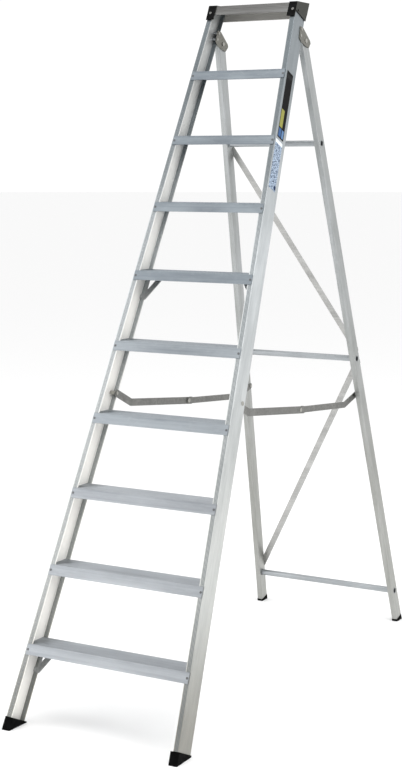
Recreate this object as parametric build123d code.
"""Aluminium swing-back stepladder, nine treads and a top tread, standing open.

+X is the climber's right, +Y points from the climber towards the rear frame, +Z is up.
The origin is on the floor, in the middle of the open ladder's footprint.
Sizes are in millimetres and degrees.
"""
from build123d import *
from math import atan, atan2, cos, degrees, hypot, radians, sin, sqrt, tan
import os

# ---- driving dimensions: front section ----
lean = 24.9              # stiles from the vertical
tread_rise = 230.0       # floor to floor of the treads, vertical
tread_count = 9
first_tread_z = 243.0    # top of the lowest tread
top_rise = 239.0         # from the highest tread to the top of the top cap
base_half = 312.5        # outer face of a stile from the middle, at the floor
top_half = 172.6         # the same at the height of the top cap
stile_depth = 77.0       # front face to rear face
stile_flange = 19.5      # outer face to flange tip
stile_web_t = 2.6
stile_flange_t = 2.5
stile_round = 1.2        # outer corners of the extrusion
groove_depth = 0.5       # grooves along the front flange
groove_width = 1.4
groove_pitch = 4.2

# ---- driving dimensions: treads ----
lip_t = 2.7              # front lip, lies over the stile's front flange
lip_length = 33.5
lip_end_gap = 3.2        # lip's end inside the stile's outer face
plate_t = 2.4
rear_lip_length = 30.0
rib_height = 0.8
rib_width = 2.4
rib_pitch = 5.6
step_depth = 0.6         # shallow step along the lip, under its nose
step_drop = 6.5
fit_gap = 0.3            # between a tread and the stile around it

# ---- driving dimensions: fasteners ----
rivet_r = 2.4
rivet_head_r = 4.0
rivet_head_h = 1.1
hole_gap = 0.05

# ---- driving dimensions: rear frame ----
rear_lean = 15.0
hinge_below_top = 132.0  # hinge pin below the top cap's top
hinge_behind = 30.0      # hinge pin behind the stile's rear face
leg_depth = 44.0
leg_width = 20.0
leg_wall = 1.8
leg_round = 1.5
leg_top_above_pin = 18.0
rear_base_half = 301.0   # outer face of a leg from the middle, at the floor
leg_side_gap = 1.15      # outer face of a leg inside the stile's, at the hinge pin
lower_rail_z = 120.5     # cross tubes
middle_rail_over = 101.5  # above the fourth tread's top
upper_rail_below = 361.5  # below the hinge pin
rail_r = 11.0
rail_wall = 1.5
strip_width = 22.5       # flat diagonals
strip_t = 2.6
strip_ends = {           # (side, cross tube beside the end, height above it)
    "upper": ((-1, "upper", -14.5), (1, "middle", 27.5)),
    "lower": ((1, "middle", -19.5), (-1, "lower", 22.5)),
}

# ---- driving dimensions: hinge ----
plate_thick = 2.6
plate_side_gap = 1.3      # between a leg and the inner hinge plate, at the pin
hinge_pin_r = 5.0
hinge_head_r = 8.0
hinge_rivet_r = 3.0
spacer_r = 4.5
running_gap = 0.08       # radial play of a turning pin
bush_wall = 3.0

# ---- driving dimensions: stays ----
front_pivot_over = 88.4  # along the stile, above the fourth tread's front edge
front_pivot_b = 59.0     # behind the stile's front face
rear_pivot_below = 36.0  # below the fourth tread's top, on the leg's centre line
fold_gap_angle = 2.6     # the folded legs stop this far from parallel to the stiles
over_centre = 1.0035     # both links together, over the open distance of their pivots
front_share = 0.5037     # the front link's share of that
front_link_height = 25.0
rear_link_height = 22.0
link_t = 3.0
link_gap = 0.3
stile_link_gap = 5.4     # between the stile's flange tips and the front link, at its pivot
fold_clear = 1.5         # between a folded link and the stile or leg beside it
front_crank = 95.0       # pivot to bend, along the straight run
rear_crank = 100.0
front_tail = 37.0        # front link past the mid joint
stop_from = 12.0         # stop tab past the mid joint
stop_length = 12.0
stop_t = 1.4
stay_pin_r = 4.0
stay_head_r = 7.0
stay_head_h = 2.0
knuckle_r = 5.0
knuckle_head_r = 8.0

# ---- driving dimensions: feet, cap, labels ----
boot_wall = 2.6
boot_height = 41.0       # top edge, along the stile
boot_inner = 7.5         # boot past the stile's flange tips
sole = 4.0               # rubber under a stile's end
rear_foot_wall = 1.0
rear_foot_front = 5.0    # height of the rear foot's front edge
rear_plug = 28.0         # rear foot's plug up inside the leg
cap_t = 2.7
cap_lip_front = 37.0     # cap's lips, along the stile, below its top
cap_lip_rear = 57.0
cap_screw_front = 29.0   # cap's screws, the same way
cap_screw_rear = 18.0
end_wall = 2.6
end_inner = 146.0        # the end mouldings start here, from the middle
end_inner_rear = 154.0
skirt_front = 56.0       # mouldings' skirts, along the stile, below the cap's top
skirt_side = 33.0
skirt_rear = 45.0
label_t = 0.2
label_spots = {          # (from, to) along the stile, (from, to) behind its front face
    "upper": ((2044, 2297), (10, 57)),
    "lower": ((1854, 2034), (4, 56)),
}

# ---- derived values ----
lean_r = radians(lean)
rear_r = radians(rear_lean)
top_z = first_tread_z + (tread_count - 1) * tread_rise + top_rise
hinge_z = top_z - hinge_below_top
fourth_tread_z = first_tread_z + 3 * tread_rise
rear_pivot_z = fourth_tread_z - rear_pivot_below
rail_heights = {
    "upper": hinge_z - upper_rail_below,
    "middle": fourth_tread_z + middle_rail_over,
    "lower": lower_rail_z,
}
front_pivot_s = fourth_tread_z / cos(lean_r) + front_pivot_over
stile_s_top = top_z / cos(lean_r)
taper = (base_half - top_half) / stile_s_top
splay = atan(taper)
hinge_b = stile_depth + hinge_behind
hinge_s = (hinge_z + hinge_b * sin(lean_r)) / cos(lean_r)
hinge_y0 = hinge_s * sin(lean_r) + hinge_b * cos(lean_r)
foot_front_y = -boot_wall / cos(lean_r)
foot_rear_y = hinge_y0 + hinge_z * tan(rear_r) + (leg_depth / 2 + rear_foot_wall) / cos(rear_r)
shift_y = -(foot_front_y + foot_rear_y) / 2
leg_run = hinge_z / cos(rear_r)
rear_hinge_half = base_half - taper * hinge_s - leg_side_gap
leg_taper = (rear_base_half - rear_hinge_half) / leg_run
leg_splay = atan(leg_taper)

FRONT = Pos(0, shift_y, 0) * Rot(-lean, 0, 0)
REAR = Pos(0, shift_y + hinge_y0, hinge_z) * Rot(rear_lean, 0, 0)
STILE = FRONT * Pos(base_half, 0, 0) * Rot(0, -degrees(splay), 0)
LEG = REAR * Pos(rear_hinge_half, 0, 0) * Rot(0, -degrees(leg_splay), 0)


def front_yz(s, b):
    """World (y, z) of a point s along the stile and b behind its front face."""
    return (shift_y + s * sin(lean_r) + b * cos(lean_r), s * cos(lean_r) - b * sin(lean_r))


def s_at(z, b):
    """Distance along the stile of a point at height z and b behind the front face."""
    return (z + b * sin(lean_r)) / cos(lean_r)


def half_at(s):
    """Outer face of a stile from the middle, s along the stile."""
    return base_half - taper * s


def rear_half_at(down):
    """Outer face of a leg from the middle, a distance down the leg from the hinge pin."""
    return rear_hinge_half + leg_taper * down


def leg_down(z):
    """Distance down the leg from the hinge pin to height z, on the leg's centre line."""
    return (hinge_z - z) / cos(rear_r)


def save(name, shape):
    """Writes one named piece."""
    export_step(shape, f"parts/{name}.step")


def save_pair(name, shape):
    """Writes a right-hand piece and its mirror image."""
    save(f"{name}_right", shape)
    save(f"{name}_left", mirror(shape, Plane.YZ))


def both_sides(shapes):
    """A group of separate solids: the right-hand ones and their mirror images."""
    solids = []
    for shape in shapes:
        solids += [shape, mirror(shape, Plane.YZ)]
    return Compound(children=solids)


def block(x0, x1, y0, y1, z0, z1):
    """A box between the given planes."""
    return Pos((x0 + x1) / 2, (y0 + y1) / 2, (z0 + z1) / 2) * Box(x1 - x0, y1 - y0, z1 - z0)


def section_face(points):
    """A face in the YZ plane from (y, z) corners."""
    return make_face(Plane.YZ * Polyline(*points, close=True))


def rod_x(x0, x1, y, z, r):
    """A rod along X."""
    return Pos((x0 + x1) / 2, y, z) * Rot(0, 90, 0) * Cylinder(r, abs(x1 - x0))


def rod_y(x, y0, y1, z, r):
    """A rod along local Y."""
    return Pos(x, (y0 + y1) / 2, z) * Rot(90, 0, 0) * Cylinder(r, abs(y1 - y0))


def rivet_y(x, head_y, tail_y, z, r=rivet_r, head=rivet_head_r):
    """A set rivet along local Y: domed round head outside head_y, formed tail beyond tail_y."""
    way = 1 if tail_y > head_y else -1
    cap = rod_y(x, head_y - way * rivet_head_h, head_y, z, head)
    rim = cap.edges().filter_by(GeomType.CIRCLE).sort_by(Axis.Y)
    cap = fillet(rim[0] if way > 0 else rim[-1], 0.6 * rivet_head_h)
    tail = rod_y(x, tail_y, tail_y + way * rivet_head_h, z, 0.85 * head)
    return rod_y(x, head_y, tail_y, z, r) + cap + tail


# ---- stiles ----
def stile_section():
    """Channel section at the stile's outer face, web outward, grooved front flange."""
    outer = Pos(-stile_flange / 2, stile_depth / 2) * RectangleRounded(stile_flange, stile_depth, stile_round)
    room_w = stile_flange - stile_web_t
    room_d = stile_depth - 2 * stile_flange_t
    room = Pos(-stile_web_t - room_w / 2 - 1, stile_depth / 2) * Rectangle(room_w + 2, room_d)
    profile = outer - room
    for i in range(3):
        x = -stile_flange / 2 + (i - 1) * groove_pitch
        profile -= Pos(x, 0) * Rectangle(groove_width, 2 * groove_depth)
    return profile


def tread_levels():
    """Top heights of the treads."""
    return [first_tread_z + i * tread_rise for i in range(tread_count)]


def tread_rivet_spots():
    """Along the tilted stile: heights of the front and the rear rivets of every tread."""
    spots = []
    for z in tread_levels():
        front = s_at(z, -lip_t) - lip_length / 2
        rear = s_at(z, stile_depth) - 0.62 * rear_lip_length
        spots.append((front / cos(splay), rear / cos(splay)))
    return spots


def cap_spots():
    """Along the tilted stile: heights of the front and the rear cap screws."""
    front = s_at(top_z, 0) - cap_screw_front
    rear = s_at(top_z, stile_depth) - cap_screw_rear
    return front / cos(splay), rear / cos(splay)


def make_stile():
    solid = extrude(stile_section(), stile_s_top + 40)
    solid = STILE * Pos(0, 0, -20) * solid
    solid -= block(-500, 500, -2000, 2000, -200, sole)
    solid -= block(-500, 500, -2000, 2000, top_z - cap_t - 1, top_z + 400)
    holes = []
    mid = -stile_flange / 2
    for front, rear in tread_rivet_spots():
        holes.append(rod_y(mid, -1, stile_flange_t + 1, front, rivet_r + hole_gap))
        holes.append(rod_y(mid, stile_depth - stile_flange_t - 1, stile_depth + 1, rear, rivet_r + hole_gap))
    front, rear = cap_spots()
    holes.append(rod_y(mid, -1, stile_flange_t + 1, front, rivet_r + hole_gap))
    holes.append(rod_y(mid, stile_depth - stile_flange_t - 1, stile_depth + 1, rear, rivet_r + hole_gap))
    for s, b in hinge_rivet_spots():
        holes.append(rod_x(-stile_web_t - 1, 1, b, s / cos(splay), hinge_rivet_r + hole_gap))
    solid -= STILE * Compound(children=holes)
    for hole in brace_holes():
        solid -= hole
    y, z = FRONT_PIVOT
    solid -= rod_x(front_link_x, base_half, y, z, stay_pin_r + hole_gap)
    return solid


# ---- treads ----
def tread_section(z_top):
    """Tread section: ribbed plate, front lip along the stile's front, rear lip inside its rear flange."""
    plate_z = z_top - rib_height
    rear_b = stile_depth - stile_flange_t - fit_gap
    s_front = s_at(z_top, -lip_t)
    s_rear = s_at(plate_z, rear_b)

    def at(z, b):
        return front_yz(s_at(z, b), b)

    lip = [at(z_top, -lip_t), at(z_top, -fit_gap), front_yz(s_front - lip_length, -fit_gap),
           front_yz(s_front - lip_length, -lip_t), front_yz(s_front - step_drop, -lip_t),
           front_yz(s_front - step_drop + 0.5, -lip_t + step_depth), front_yz(s_front - 2.5, -lip_t + step_depth),
           front_yz(s_front - 2.0, -lip_t)]
    plate = [at(plate_z, -lip_t + 0.2), at(plate_z, rear_b), at(plate_z - plate_t, rear_b),
             at(plate_z - plate_t, -lip_t + 0.2)]
    rear = [at(plate_z, rear_b), front_yz(s_rear - rear_lip_length, rear_b),
            front_yz(s_rear - rear_lip_length, rear_b - plate_t), at(plate_z, rear_b - plate_t)]
    face = section_face(lip) + section_face(plate) + section_face(rear)
    y_front = at(z_top, 0)[0] + rib_pitch / 2
    y_rear = at(z_top, rear_b)[0] - rib_width
    count = int((y_rear - y_front) / rib_pitch)
    for i in range(count + 1):
        y = y_front + i * rib_pitch
        face += section_face([(y, plate_z - 0.2), (y + rib_width, plate_z - 0.2), (y + 0.85 * rib_width, z_top),
                              (y + 0.15 * rib_width, z_top)])
    return face


def stile_cutter():
    """Everything a tread keeps clear of at the right stile: front flange, web and rear flange."""
    g = fit_gap
    far = 40.0
    slot = block(-stile_flange - g, far, -g, stile_flange_t + g, -50, stile_s_top + 100)
    web = block(-stile_web_t - g, far, -g, stile_depth + 5, -50, stile_s_top + 100)
    return STILE * (slot + web)


def make_tread(z_top, front, rear):
    half = half_at(s_at(z_top, -lip_t)) - lip_end_gap
    solid = extrude(tread_section(z_top), half, both=True)
    cutter = CUTTER
    solid = solid - cutter - mirror(cutter, Plane.YZ)
    mid = -stile_flange / 2
    hole_f = STILE * rod_y(mid, -lip_t - 1, stile_flange_t, front, rivet_r + hole_gap)
    hole_r = STILE * rod_y(mid, stile_depth - 10, stile_depth, rear, rivet_r + hole_gap)
    for hole in [hole_f, hole_r] + brace_holes():
        solid = solid - hole - mirror(hole, Plane.YZ)
    return solid


def tread_rivets():
    """Front and rear rivets of every tread, as two groups."""
    mid = -stile_flange / 2
    fronts = []
    rears = []
    rear_in = stile_depth - stile_flange_t - fit_gap - plate_t
    for front, rear in tread_rivet_spots():
        fronts.append(STILE * rivet_y(mid, -lip_t, stile_flange_t, front))
        rears.append(STILE * rivet_y(mid, stile_depth, rear_in, rear))
    return both_sides(fronts), both_sides(rears)


# ---- knee braces under treads 1 and 6 ----
BRACED = (1, 6)
brace_t = 2.5
brace_side_width = 8.5
brace_width = 19.0
brace_foot = 14.0        # height of the foot
brace_drop = 105.0       # foot below the tread's rear top edge, along the stile
brace_reach = 62.0       # upper rivet inward from the middle of the flange


def brace_heights(n):
    """Along the tilted stile: heights of the foot and of the upper rivet of tread n's brace."""
    s_top = s_at(tread_levels()[n - 1], stile_depth)
    return (s_top - brace_drop) / cos(splay), (s_top - 0.62 * rear_lip_length) / cos(splay)


def brace_faces():
    """Front and rear faces of a brace: just in front of the treads' rear lips."""
    back = stile_depth - stile_flange_t - fit_gap - plate_t - hole_gap
    return back - brace_t, back


def brace_bar(p, q, width):
    """A round-ended flat bar between two (x, z) points of the tilted stile's frame."""
    b0, b1 = brace_faces()
    length = hypot(q[0] - p[0], q[1] - p[1])
    turn = degrees(atan2(q[0] - p[0], q[1] - p[1]))
    bar = Pos(0, 0, length / 2) * Box(width, b1 - b0, length)
    for end in (0, length):
        bar += Pos(0, 0, end) * Rot(90, 0, 0) * Cylinder(width / 2, b1 - b0)
    return Pos(p[0], (b0 + b1) / 2, p[1]) * Rot(0, turn, 0) * bar


def make_brace(n):
    """A bent strip: foot set back onto the stile's rear flange, one arm up, one across to the tread."""
    low, high = brace_heights(n)
    b0, b1 = brace_faces()
    side_x = -stile_flange - 0.6
    flange = stile_depth - stile_flange_t - hole_gap
    knee_x = -stile_flange / 2 - brace_reach
    shape = brace_bar((side_x, low), (side_x, high), brace_side_width)
    shape += brace_bar((side_x, low), (knee_x, high), brace_width)
    shape += block(side_x, -stile_web_t - 1, b0, flange, low - brace_foot / 2, low + brace_foot / 2)
    shape -= rod_y(knee_x, b0 - 1, b1 + 1, high, rivet_r + hole_gap)
    shape -= rod_y(-stile_flange / 2, b0 - 1, flange + 1, low, rivet_r + hole_gap)
    return STILE * shape


def brace_holes():
    """Rivet holes of the knee braces in the right stile's rear flange and in the treads' rear lips."""
    b0, b1 = brace_faces()
    holes = []
    for n in BRACED:
        low, high = brace_heights(n)
        knee_x = -stile_flange / 2 - brace_reach
        holes.append(STILE * rod_y(-stile_flange / 2, b1, stile_depth + 1, low, rivet_r + hole_gap))
        holes.append(STILE * rod_y(knee_x, b1 - 1, stile_depth, high, rivet_r + hole_gap))
    return holes


def brace_rivets():
    """Rivets of the knee braces: through the stile's rear flange, and through the tread's rear lip."""
    out = []
    lip_face = stile_depth - stile_flange_t - fit_gap
    for n in BRACED:
        low, high = brace_heights(n)
        out.append(STILE * rivet_y(-stile_flange / 2, stile_depth, brace_faces()[0], low))
        out.append(STILE * rivet_y(-stile_flange / 2 - brace_reach, lip_face, brace_faces()[0], high))
    return both_sides(out)


# ---- hinge ----
def hinge_rivet_spots():
    """(s, b) of the two rivets that hold a stile's pair of hinge plates."""
    return (hinge_s + 21, stile_depth - 15), (hinge_s - 3, stile_depth - 14)


def hinge_plate(x0):
    """A hinge plate in the tilted stile's frame, its inner side at x0."""
    front = stile_depth - 27
    corners = [(front, 27), (front + 24, 32), (hinge_b + 32, 16), (hinge_b + 38, 9), (hinge_b + 30, -14),
               (hinge_b - 7, -21), (front + 26, -23), (front + 5, -17)]
    flat = Plane.YZ * Polyline(*[(b, hinge_s + ds) for b, ds in corners], close=True)
    face = make_face(flat)
    solid = extrude(face, plate_thick, dir=(1, 0, 0))
    solid = fillet(solid.edges().filter_by(Axis.X), 4)
    plate = STILE * Pos(x0, 0, hinge_s / cos(splay) - hinge_s) * solid
    for s, b in hinge_rivet_spots():
        hole = rod_x(x0 - 2, x0 + plate_thick + 2, b, s / cos(splay), hinge_rivet_r + hole_gap)
        plate -= STILE * hole
    x_pin = half_at(hinge_s) + x0
    plate -= FRONT * rod_x(x_pin - 8, x_pin + plate_thick + 8, hinge_b, hinge_s, hinge_pin_r + hole_gap)
    return plate


def hinge_rivets():
    out = []
    x_in = INNER_PLATE_X
    x_out = OUTER_PLATE_X + plate_thick
    for s, b in hinge_rivet_spots():
        z = s / cos(splay)
        shank = rod_x(x_in - 1.5, x_out + 1.5, b, z, hinge_rivet_r)
        heads = rod_x(x_in - 1.5, x_in, b, z, 1.7 * hinge_rivet_r) + rod_x(x_out, x_out + 1.5, b, z, 1.8 * hinge_rivet_r)
        out.append(STILE * (shank + heads))
    return both_sides(out)


def hinge_spacers():
    out = []
    for s, b in hinge_rivet_spots():
        z = s / cos(splay)
        tube = rod_x(INNER_PLATE_X + plate_thick, -stile_web_t, b, z, spacer_r)
        tube -= rod_x(INNER_PLATE_X, 0, b, z, hinge_rivet_r + hole_gap)
        out.append(STILE * tube)
    return both_sides(out)


def headed_pin(x_out, x_in, y, z, r, head_r, head_h, shoulder=None):
    """A pin along X with a head at both ends, and a thicker shoulder between two places."""
    pin = rod_x(x_in - head_h, x_out + head_h, y, z, r)
    head = rod_x(x_out, x_out + head_h, y, z, head_r)
    pin += chamfer(head.edges().filter_by(GeomType.CIRCLE).sort_by(Axis.X)[-1], 0.35 * head_h)
    pin += rod_x(x_in - head_h, x_in, y, z, 0.9 * head_r)
    if shoulder:
        pin += rod_x(shoulder[0], shoulder[1], y, z, head_r)
    return pin


def hinge_pins():
    y, z = HINGE
    tilt = hinge_head_r * taper
    x_out = half_at(hinge_s) + OUTER_PLATE_X + plate_thick + tilt
    x_in = half_at(hinge_s) + INNER_PLATE_X - tilt
    return both_sides([headed_pin(x_out, x_in, y, z, hinge_pin_r, hinge_head_r, 2.2)])


# ---- rear frame ----
def leg_room(gap=0):
    """Inside of the leg's box section, less a gap."""
    room = Rectangle(leg_width - 2 * (leg_wall + gap), leg_depth - 2 * (leg_wall + gap))
    return Pos(-leg_width / 2, 0) * room


def leg_section():
    """Rectangular tube, its outer face at x = 0."""
    outer = Pos(-leg_width / 2, 0) * RectangleRounded(leg_width, leg_depth, leg_round)
    return outer - leg_room()


def make_leg():
    solid = LEG * Pos(0, 0, -leg_end) * extrude(leg_section(), leg_end + leg_top_above_pin)
    solid = solid - REAR * rod_x(0, rear_base_half, 0, 0, hinge_pin_r + running_gap + bush_wall + hole_gap)
    for z in rail_heights.values():
        x = rear_half_at(leg_down(z)) - leg_width
        solid -= REAR * rod_x(x - 10, rear_base_half + 20, 0, -leg_down(z), rail_r + hole_gap)
    x = rear_half_at(leg_down(rear_pivot_z)) - leg_width
    solid -= REAR * rod_x(x - 5, x + leg_wall + 3, 0, -leg_down(rear_pivot_z), stay_pin_r + hole_gap)
    for ends in strip_ends.values():
        for side, rail, above in ends:
            down = leg_down(rail_heights[rail] + above)
            x = rear_half_at(down) - leg_width / 2
            solid -= REAR * rod_y(x, 10, leg_depth, -down, rivet_r + hole_gap)
    return solid


def hinge_bushes():
    inner = hinge_pin_r + running_gap
    tilt = (inner + bush_wall) * leg_taper
    x1 = rear_hinge_half - tilt
    x0 = rear_hinge_half - leg_width + tilt
    bush = rod_x(x0, x1, 0, 0, inner + bush_wall) - rod_x(x0 - 1, x1 + 1, 0, 0, inner)
    return both_sides([REAR * bush])


def make_rail(z):
    down = leg_down(z)
    half = rear_half_at(down) + 0.3
    tube = rod_x(-half, half, 0, -down, rail_r) - rod_x(-half - 1, half + 1, 0, -down, rail_r - rail_wall)
    for side in (-1, 1):
        x = side * (rear_half_at(down) - leg_width - 1.9)
        bead = rod_x(x - 1.1, x + 1.1, 0, -down, rail_r + 1.4)
        tube += bead - rod_x(x - 3, x + 3, 0, -down, rail_r - rail_wall)
    return REAR * tube


def strip_spots(name):
    """(x, down) of the two end rivets of a flat diagonal."""
    spots = []
    for side, rail, above in strip_ends[name]:
        down = leg_down(rail_heights[rail] + above)
        spots.append((side * (rear_half_at(down) - leg_width / 2), down))
    return spots


def make_strip(name):
    """A flat diagonal on the legs' rear faces, its ends cut flush with the legs' outer faces."""
    (x0, d0), (x1, d1) = strip_spots(name)
    length = hypot(x1 - x0, d1 - d0)
    turn = degrees(atan2(x1 - x0, -(d1 - d0)))
    y = leg_depth / 2 + hole_gap + strip_t / 2
    bar = Pos(0, 0, length / 2) * Box(strip_width, strip_t, length)
    for end in (0, length):
        bar += Pos(0, 0, end) * Rot(90, 0, 0) * Cylinder(strip_width / 2, strip_t)
        bar -= Pos(0, 0, end) * Rot(90, 0, 0) * Cylinder(rivet_r + hole_gap, strip_t + 2)
    bar = REAR * Pos(x0, y, -d0) * Rot(0, turn, 0) * bar
    beyond = LEG * block(-fit_gap, 60, -leg_depth, leg_depth, -leg_end - 20, 50)
    return bar - beyond - mirror(beyond, Plane.YZ)


def strip_rivets():
    out = []
    for name in strip_ends:
        for x, down in strip_spots(name):
            outside = leg_depth / 2 + hole_gap + strip_t
            out.append(REAR * rivet_y(x, outside, leg_depth / 2 - leg_wall, -down))
    return Compound(children=out)


# ---- stays ----
def crossing(p, r, q, l, way):
    """The point at distance r from p and l from q, on the given side of the line from p to q."""
    d = hypot(q[0] - p[0], q[1] - p[1])
    u = ((q[0] - p[0]) / d, (q[1] - p[1]) / d)
    along = (r * r - l * l + d * d) / (2 * d)
    out = way * sqrt(r * r - along * along)
    return (p[0] + along * u[0] - out * u[1], p[1] + along * u[1] + out * u[0])


def turned(p, centre, angle):
    """A (y, z) point turned about a centre, in degrees, from +Y towards +Z."""
    a = radians(angle)
    dy, dz = p[0] - centre[0], p[1] - centre[1]
    return (centre[0] + dy * cos(a) - dz * sin(a), centre[1] + dy * sin(a) + dz * cos(a))


HINGE = front_yz(hinge_s, hinge_b)
FRONT_PIVOT = front_yz(front_pivot_s, front_pivot_b)
REAR_PIVOT = (HINGE[0] + (hinge_z - rear_pivot_z) * tan(rear_r), rear_pivot_z)
FOLD = -(lean + rear_lean - fold_gap_angle)
SPAN = hypot(REAR_PIVOT[0] - FRONT_PIVOT[0], REAR_PIVOT[1] - FRONT_PIVOT[1])
FRONT_LINK = SPAN * over_centre * front_share
REAR_LINK = SPAN * over_centre * (1 - front_share)
KNUCKLE = crossing(FRONT_PIVOT, FRONT_LINK, REAR_PIVOT, REAR_LINK, -1)
REAR_PIVOT_FOLDED = turned(REAR_PIVOT, HINGE, FOLD)
KNUCKLE_FOLDED = crossing(FRONT_PIVOT, FRONT_LINK, REAR_PIVOT_FOLDED, REAR_LINK, 1)
front_link_x = half_at(front_pivot_s) - stile_flange - stile_link_gap
rear_link_x = front_link_x - link_t - link_gap
front_offset = stile_depth + fold_clear + front_link_height / 2 - front_pivot_b
rear_offset = leg_depth / 2 + rear_link_height / 2 + fold_clear + 0.5
leg_end = leg_down(0) - (leg_depth / 2 * sin(rear_r) + rear_foot_front) / cos(rear_r)
OUTER_PLATE_X = fit_gap
INNER_PLATE_X = -max(leg_side_gap + leg_width + plate_side_gap, stile_flange + fit_gap) - plate_thick
CUTTER = stile_cutter()


def link_bar(p, q, height):
    """A round-ended flat bar between two (y, z) points, its outer face at x = 0."""
    length = hypot(q[0] - p[0], q[1] - p[1])
    bar = Pos(-link_t / 2, length / 2, 0) * Box(link_t, length, height)
    for end in (0, length):
        bar += Pos(-link_t / 2, end, 0) * Rot(0, 90, 0) * Cylinder(height / 2, link_t)
    return Pos(0, p[0], p[1]) * Rot(degrees(atan2(q[1] - p[1], q[0] - p[0])), 0, 0) * bar


def run_of(pivot, offset):
    """Direction of a link's straight run, from its pivot's side to the knuckle, and its start."""
    dy, dz = KNUCKLE[0] - pivot[0], KNUCKLE[1] - pivot[1]
    length = hypot(dy, dz)
    way = 1 if dy > 0 else -1
    angle = atan2(dz, dy) + way * atan2(offset, sqrt(length * length - offset * offset))
    u = (cos(angle), sin(angle))
    run = sqrt(length * length - offset * offset)
    foot = (KNUCKLE[0] - run * u[0], KNUCKLE[1] - run * u[1])
    return u, foot


def make_front_link():
    u, foot = run_of(FRONT_PIVOT, front_offset)
    bend = (foot[0] + front_crank * u[0], foot[1] + front_crank * u[1])
    straight = front_tail - front_link_height / 2
    tail = (KNUCKLE[0] + straight * u[0], KNUCKLE[1] + straight * u[1])
    shape = link_bar(FRONT_PIVOT, bend, front_link_height) + link_bar(bend, tail, front_link_height)
    shape += stop_tab(u)
    shape = Pos(front_link_x, 0, 0) * shape
    shape -= rod_x(front_link_x - 10, front_link_x + 5, *FRONT_PIVOT, stay_pin_r + running_gap)
    return shape - rod_x(front_link_x - 10, front_link_x + 5, *KNUCKLE, knuckle_r + hole_gap)


def stop_tab(u):
    """Tab folded over the rear link's upper edge, just past the knuckle."""
    v = run_of(REAR_PIVOT, rear_offset)[0]
    between = atan2(-v[1], -v[0]) - atan2(u[1], u[0])
    rise = (stop_from + stop_length) * tan(between) + rear_link_height / 2 / cos(between) + link_gap
    tab = block(-2 * link_t - link_gap, 0, stop_from, stop_from + stop_length, rise, rise + stop_t)
    tab += block(-link_t, 0, stop_from, stop_from + stop_length, front_link_height / 2 - 3, rise + stop_t)
    return Pos(0, *KNUCKLE) * Rot(degrees(atan2(u[1], u[0])), 0, 0) * tab


def make_rear_link():
    u, foot = run_of(REAR_PIVOT, rear_offset)
    bend = (foot[0] + rear_crank * u[0], foot[1] + rear_crank * u[1])
    shape = link_bar(REAR_PIVOT, bend, rear_link_height) + link_bar(bend, KNUCKLE, rear_link_height)
    shape = Pos(rear_link_x, 0, 0) * shape
    shape -= rod_x(rear_link_x - 10, rear_link_x + 5, *REAR_PIVOT, stay_pin_r + running_gap)
    return shape - rod_x(rear_link_x - 10, rear_link_x + 5, *KNUCKLE, knuckle_r + hole_gap)


def stay_front_pins():
    half = half_at(front_pivot_s)
    tilt = stay_head_r * taper
    shoulder = (front_link_x + link_gap, half - stile_web_t - tilt)
    pin = headed_pin(half + tilt, front_link_x - link_t - link_gap, *FRONT_PIVOT, stay_pin_r, stay_head_r,
                     stay_head_h, shoulder)
    return both_sides([pin])


def stay_rear_pins():
    """Pins of the rear links, set in the legs' inner walls only."""
    inner = rear_half_at(leg_down(rear_pivot_z)) - leg_width
    tilt = stay_head_r * leg_taper
    shoulder = (rear_link_x + link_gap, inner - tilt)
    pin = headed_pin(inner + leg_wall + tilt, rear_link_x - link_t - link_gap, *REAR_PIVOT, stay_pin_r,
                     stay_head_r, stay_head_h, shoulder)
    return both_sides([pin])


def knuckle_half(face, inner):
    """Half of a knuckle rivet: a plug in the link, and a head on its free side."""
    y, z = KNUCKLE
    plug = rod_x(face - link_t, face, y, z, knuckle_r)
    if inner:
        head = rod_x(face - link_t - stay_head_h, face - link_t, y, z, knuckle_head_r)
    else:
        head = rod_x(face, face + stay_head_h, y, z, knuckle_head_r)
    rims = head.edges().filter_by(GeomType.CIRCLE).sort_by(Axis.X)
    return plug + chamfer(rims[0] if inner else rims[-1], 0.35 * stay_head_h)


# ---- top cap ----
def make_top_cap():
    """Top tread: inverted channel over the stiles' ends, its front lip ribbed."""
    s0 = s_at(top_z, 0)
    s1 = s_at(top_z, stile_depth)
    out_f = -fit_gap - cap_t
    out_r = stile_depth + fit_gap + cap_t

    def at(z, b):
        return front_yz(s_at(z, b), b)

    under = top_z - rib_height - cap_t
    face = section_face([at(top_z, out_f), at(top_z, -fit_gap), front_yz(s0 - cap_lip_front, -fit_gap),
                         front_yz(s0 - cap_lip_front, out_f)])
    face += section_face([at(top_z - rib_height, out_f + 0.2), at(top_z - rib_height, out_r - 0.2),
                          at(under, out_r - 0.2), at(under, out_f + 0.2)])
    face += section_face([at(top_z, out_r), at(top_z, stile_depth + fit_gap),
                          front_yz(s1 - cap_lip_rear, stile_depth + fit_gap), front_yz(s1 - cap_lip_rear, out_r)])
    y = at(top_z, 0)[0] + 0.6 * rib_pitch
    while y < at(top_z, stile_depth)[0] - rib_width:
        low = top_z - rib_height - 0.2
        face += section_face([(y, low), (y + rib_width, low), (y + 0.85 * rib_width, top_z),
                              (y + 0.15 * rib_width, top_z)])
        y += rib_pitch
    for i in range(4):
        s = s0 - 14 - 6.5 * i
        face -= section_face([front_yz(s, out_f - 1), front_yz(s, out_f + 0.5), front_yz(s - 2, out_f + 0.5),
                              front_yz(s - 2, out_f - 1)])
    solid = extrude(face, CAP_HALF, both=True)
    return solid - both_sides(cap_holes())


def cap_holes():
    """Screw holes at the right end, front and rear."""
    front, rear = cap_spots()
    mid = -stile_flange / 2
    return [STILE * rod_y(mid, -30, 30, front, rivet_r + hole_gap),
            STILE * rod_y(mid, stile_depth - 10, stile_depth + 30, rear, rivet_r + hole_gap)]


CAP_HALF = top_half - 0.5


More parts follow.
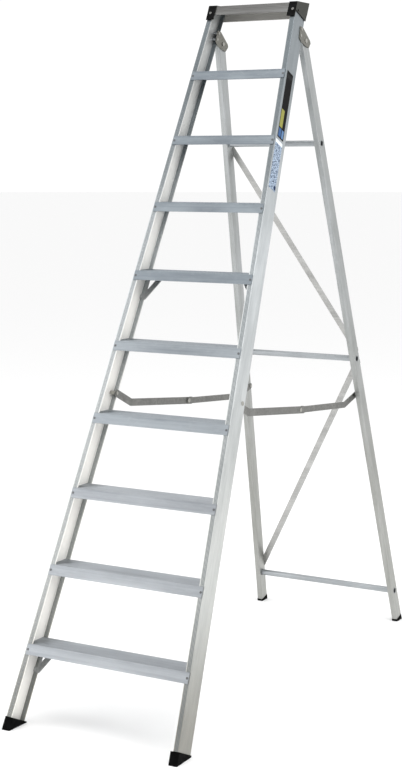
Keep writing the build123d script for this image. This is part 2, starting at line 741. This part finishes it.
def make_top_end():
    """Black end moulding over the cap's right end: top, end wall, front, side and rear skirts."""
    s0 = s_at(top_z, 0)
    s1 = s_at(top_z, stile_depth)
    in_f = -2 * fit_gap - cap_t
    in_r = stile_depth + 2 * fit_gap + cap_t
    out_f = in_f - end_wall
    out_r = in_r + end_wall
    x_in = top_half + taper * skirt_side + 2 * fit_gap
    x_out = x_in + end_wall

    def at(z, b):
        return front_yz(s_at(z, b), b)

    lid = top_z + fit_gap
    high = lid + end_wall
    outer = section_face([at(high, out_f), at(high, out_r), front_yz(s1 - 90, out_r), front_yz(s0 - 90, out_f)])
    inner = section_face([at(lid, in_f), at(lid, in_r), front_yz(s1 - 120, in_r), front_yz(s0 - 120, in_f)])
    solid = Pos(end_inner, 0, 0) * extrude(outer, x_out - end_inner, dir=(1, 0, 0))
    solid = fillet(solid.edges().filter_by(Axis.X).sort_by(Axis.Z)[-2:], 1.6)
    rims = solid.faces().sort_by(Axis.X)[-1].edges().sort_by(Axis.Z)[-3:]
    solid = fillet(rims, 1.4)
    solid -= Pos(end_inner - 1, 0, 0) * extrude(inner, x_in - end_inner + 1, dir=(1, 0, 0))
    solid -= FRONT * block(0, 400, -50, in_f + 0.01, 0, s0 - skirt_front)
    solid -= FRONT * block(0, 400, in_f, in_r, 0, s0 - skirt_side)
    solid -= FRONT * block(0, 400, in_r - 0.01, 200, 0, s1 - skirt_rear)
    drop = front_yz(s1, in_r)
    solid -= block(0, end_inner_rear, drop[0] - 6, drop[0] + 60, 0, lid)
    y, z = front_yz(s0 - 27, 12)
    solid += rod_x(x_out - 0.5, x_out + 3.4, y, z, 3.0)
    for hole in cap_holes():
        solid -= hole
    return solid


def cap_screws():
    front, rear = cap_spots()
    mid = -stile_flange / 2
    out = 2 * fit_gap + cap_t + end_wall
    screws = [rivet_y(mid, -out, stile_flange_t, front, rivet_r, 5.0),
              rivet_y(mid, stile_depth + out, stile_depth - stile_flange_t, rear, rivet_r, 5.0)]
    return both_sides([STILE * screw for screw in screws])


# ---- feet and labels ----
def make_front_foot():
    """Boot over the stile's lower end, with a core inside the channel and a treaded sole."""
    inner = stile_flange + boot_inner
    outer = block(-inner, boot_wall, -boot_wall, stile_depth + boot_wall, -60, boot_height)
    outer = fillet(outer.edges().filter_by(Axis.Z), 2.0)
    boot = STILE * outer
    boot -= block(-500, 500, -3000, 3000, -300, 0)
    g = fit_gap
    room = block(-stile_flange - g, g, -g, stile_depth + g, -60, boot_height + 5)
    core = block(-stile_flange - g - 1, -stile_web_t - g, stile_flange_t + g, stile_depth - stile_flange_t - g,
                 -60, boot_height - 12)
    cavity = STILE * (room - core)
    cavity -= block(-500, 500, -3000, 3000, -300, sole - g)
    boot -= cavity
    y0 = front_yz(0, 0)[0]
    for i in range(8):
        y = y0 + 6 + 10 * i
        boot -= block(0, 500, y, y + 3, -1, 1.2)
    return boot


def make_rear_foot():
    """Plug in the leg's lower end, its sole level on the floor."""
    grown = Pos(-leg_width / 2, 0) * RectangleRounded(leg_width + 2 * rear_foot_wall, leg_depth + 2 * rear_foot_wall, 2)
    shoe = LEG * Pos(0, 0, -leg_end - 40) * extrude(grown, 40)
    shoe -= block(-500, 500, -3000, 3000, -300, 0)
    return shoe + LEG * Pos(0, 0, -leg_end - 1) * extrude(leg_room(0.15), rear_plug)


def make_label(name):
    (s0, s1), (b0, b1) = label_spots[name]
    sheet = block(hole_gap, hole_gap + label_t, b0, b1, s0 / cos(splay), s1 / cos(splay))
    return STILE * sheet


# ---- build ----
def build_front():
    save_pair("stile", make_stile())
    spots = tread_rivet_spots()
    for i, z in enumerate(tread_levels()):
        save(f"tread_{i + 1}", make_tread(z, *spots[i]))
    fronts, rears = tread_rivets()
    save("tread_rivets_front", fronts)
    save("tread_rivets_rear", rears)
    for n in BRACED:
        save_pair(f"tread_brace_{n}", make_brace(n))
    save("tread_brace_rivets", brace_rivets())
    save_pair("hinge_plate_outer", hinge_plate(OUTER_PLATE_X))
    save_pair("hinge_plate_inner", hinge_plate(INNER_PLATE_X))
    save("hinge_rivets", hinge_rivets())
    save("hinge_spacers", hinge_spacers())
    save("hinge_pins", hinge_pins())
    save("stay_front_pins", stay_front_pins())
    save("top_cap", make_top_cap())
    save_pair("top_end", make_top_end())
    save("top_cap_screws", cap_screws())
    save_pair("front_foot", make_front_foot())
    for name in label_spots:
        save(f"stile_label_{name}", make_label(name))


def build_rear():
    save_pair("rear_leg", make_leg())
    save("hinge_bushes", hinge_bushes())
    for name, z in rail_heights.items():
        save(f"rear_rail_{name}", make_rail(z))
    for name in strip_ends:
        save(f"rear_brace_{name}", make_strip(name))
    save("rear_brace_rivets", strip_rivets())
    save("stay_rear_pins", stay_rear_pins())
    save_pair("rear_foot", make_rear_foot())


def build_stays():
    save_pair("stay_front_link", make_front_link())
    save_pair("stay_knuckle_front", knuckle_half(front_link_x, False))
    save_pair("stay_rear_link", make_rear_link())
    save_pair("stay_knuckle_rear", knuckle_half(rear_link_x, True))


os.makedirs("parts", exist_ok=True)
build_front()
build_rear()
build_stays()
